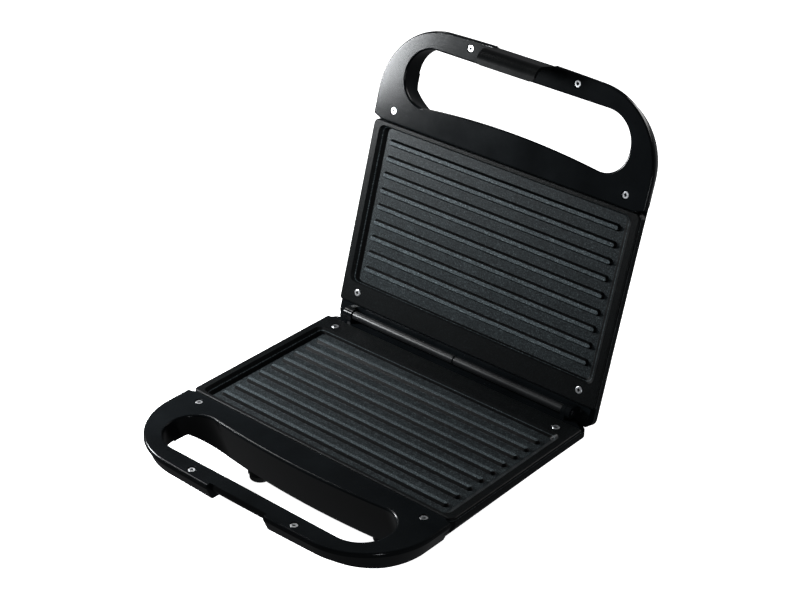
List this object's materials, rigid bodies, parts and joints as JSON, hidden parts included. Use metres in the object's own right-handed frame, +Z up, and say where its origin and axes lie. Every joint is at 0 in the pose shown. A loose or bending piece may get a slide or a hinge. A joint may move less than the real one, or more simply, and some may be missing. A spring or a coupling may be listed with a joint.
{
  "type": "panini press",
  "caption": "Two-plate electric grill press with ribbed plates, loop handles on both halves, a rear hinge and a front latch, lid held open.",
  "frame": {"origin": "on the supporting surface, under the middle of the box round the open press", "axes": "+X along the hinge, +Y to the back, +Z up"},
  "size_m": [0.234, 0.3066, 0.2683],
  "materials": {
    "black_housing": "satin",
    "nonstick_plate": "speckled non-stick coating on cast aluminium",
    "screw_steel": "zinc plated",
    "hinge_sleeve": "satin",
    "pin_steel": "drawn",
    "heater_sheath": "heat tinted",
    "sheet_steel": "rolled",
    "phenolic": "moulded",
    "latch_black": "glossy",
    "foot_rubber": "matt",
    "bushing_rubber": "matt",
    "white_nylon": "moulded",
    "fuse_metal": "drawn",
    "board": "laminate",
    "red_lens": "clear red",
    "green_lens": "clear green"
  },
  "bodies": {
    "base": {"base_shell": "black_housing", "lower_grill_plate": "nonstick_plate", "lower_handle_cover": "black_housing", "lower_plate_screws": "screw_steel", "lower_cover_screws": "screw_steel", "lower_heating_element": "heater_sheath", "lower_element_clamps": "sheet_steel", "lower_clamp_screws": "screw_steel", "lower_heat_shield": "sheet_steel", "lower_shield_screws": "screw_steel", "lower_thermostat": "phenolic", "hinge_rod": "pin_steel", "hinge_sleeve_left": "hinge_sleeve", "hinge_sleeve_right": "hinge_sleeve", "rubber_feet": "foot_rubber", "foot_screws": "screw_steel", "cord_bushing": "bushing_rubber", "cord_clamp": "white_nylon", "cord_clamp_screws": "screw_steel", "terminal_block": "white_nylon", "thermal_fuse": "fuse_metal"},
    "lid": {"lid_shell": "black_housing", "upper_grill_plate": "nonstick_plate", "upper_handle_cover": "black_housing", "upper_plate_screws": "screw_steel", "upper_cover_screws": "screw_steel", "upper_heating_element": "heater_sheath", "upper_element_clamps": "sheet_steel", "upper_clamp_screws": "screw_steel", "upper_heat_shield": "sheet_steel", "upper_shield_screws": "screw_steel", "upper_thermostat": "phenolic", "latch_pin": "pin_steel", "power_lamp_lens": "red_lens", "ready_lamp_lens": "green_lens", "lamp_board": "board"},
    "latch": {"latch": "latch_black"}
  },
  "joints": [
    {"name": "lid_hinge", "type": "hinge", "parent": "base", "child": "lid", "pos_m": [0, 0.06698, 0.0545], "axis": [-1, 0, 0], "range_deg": [-105.7, 0]},
    {"name": "latch_pivot", "type": "hinge", "parent": "lid", "child": "latch", "pos_m": [0, 0.13547, 0.25567], "axis": [-1, 0, 0], "range_deg": [0, 40]}
  ]
}
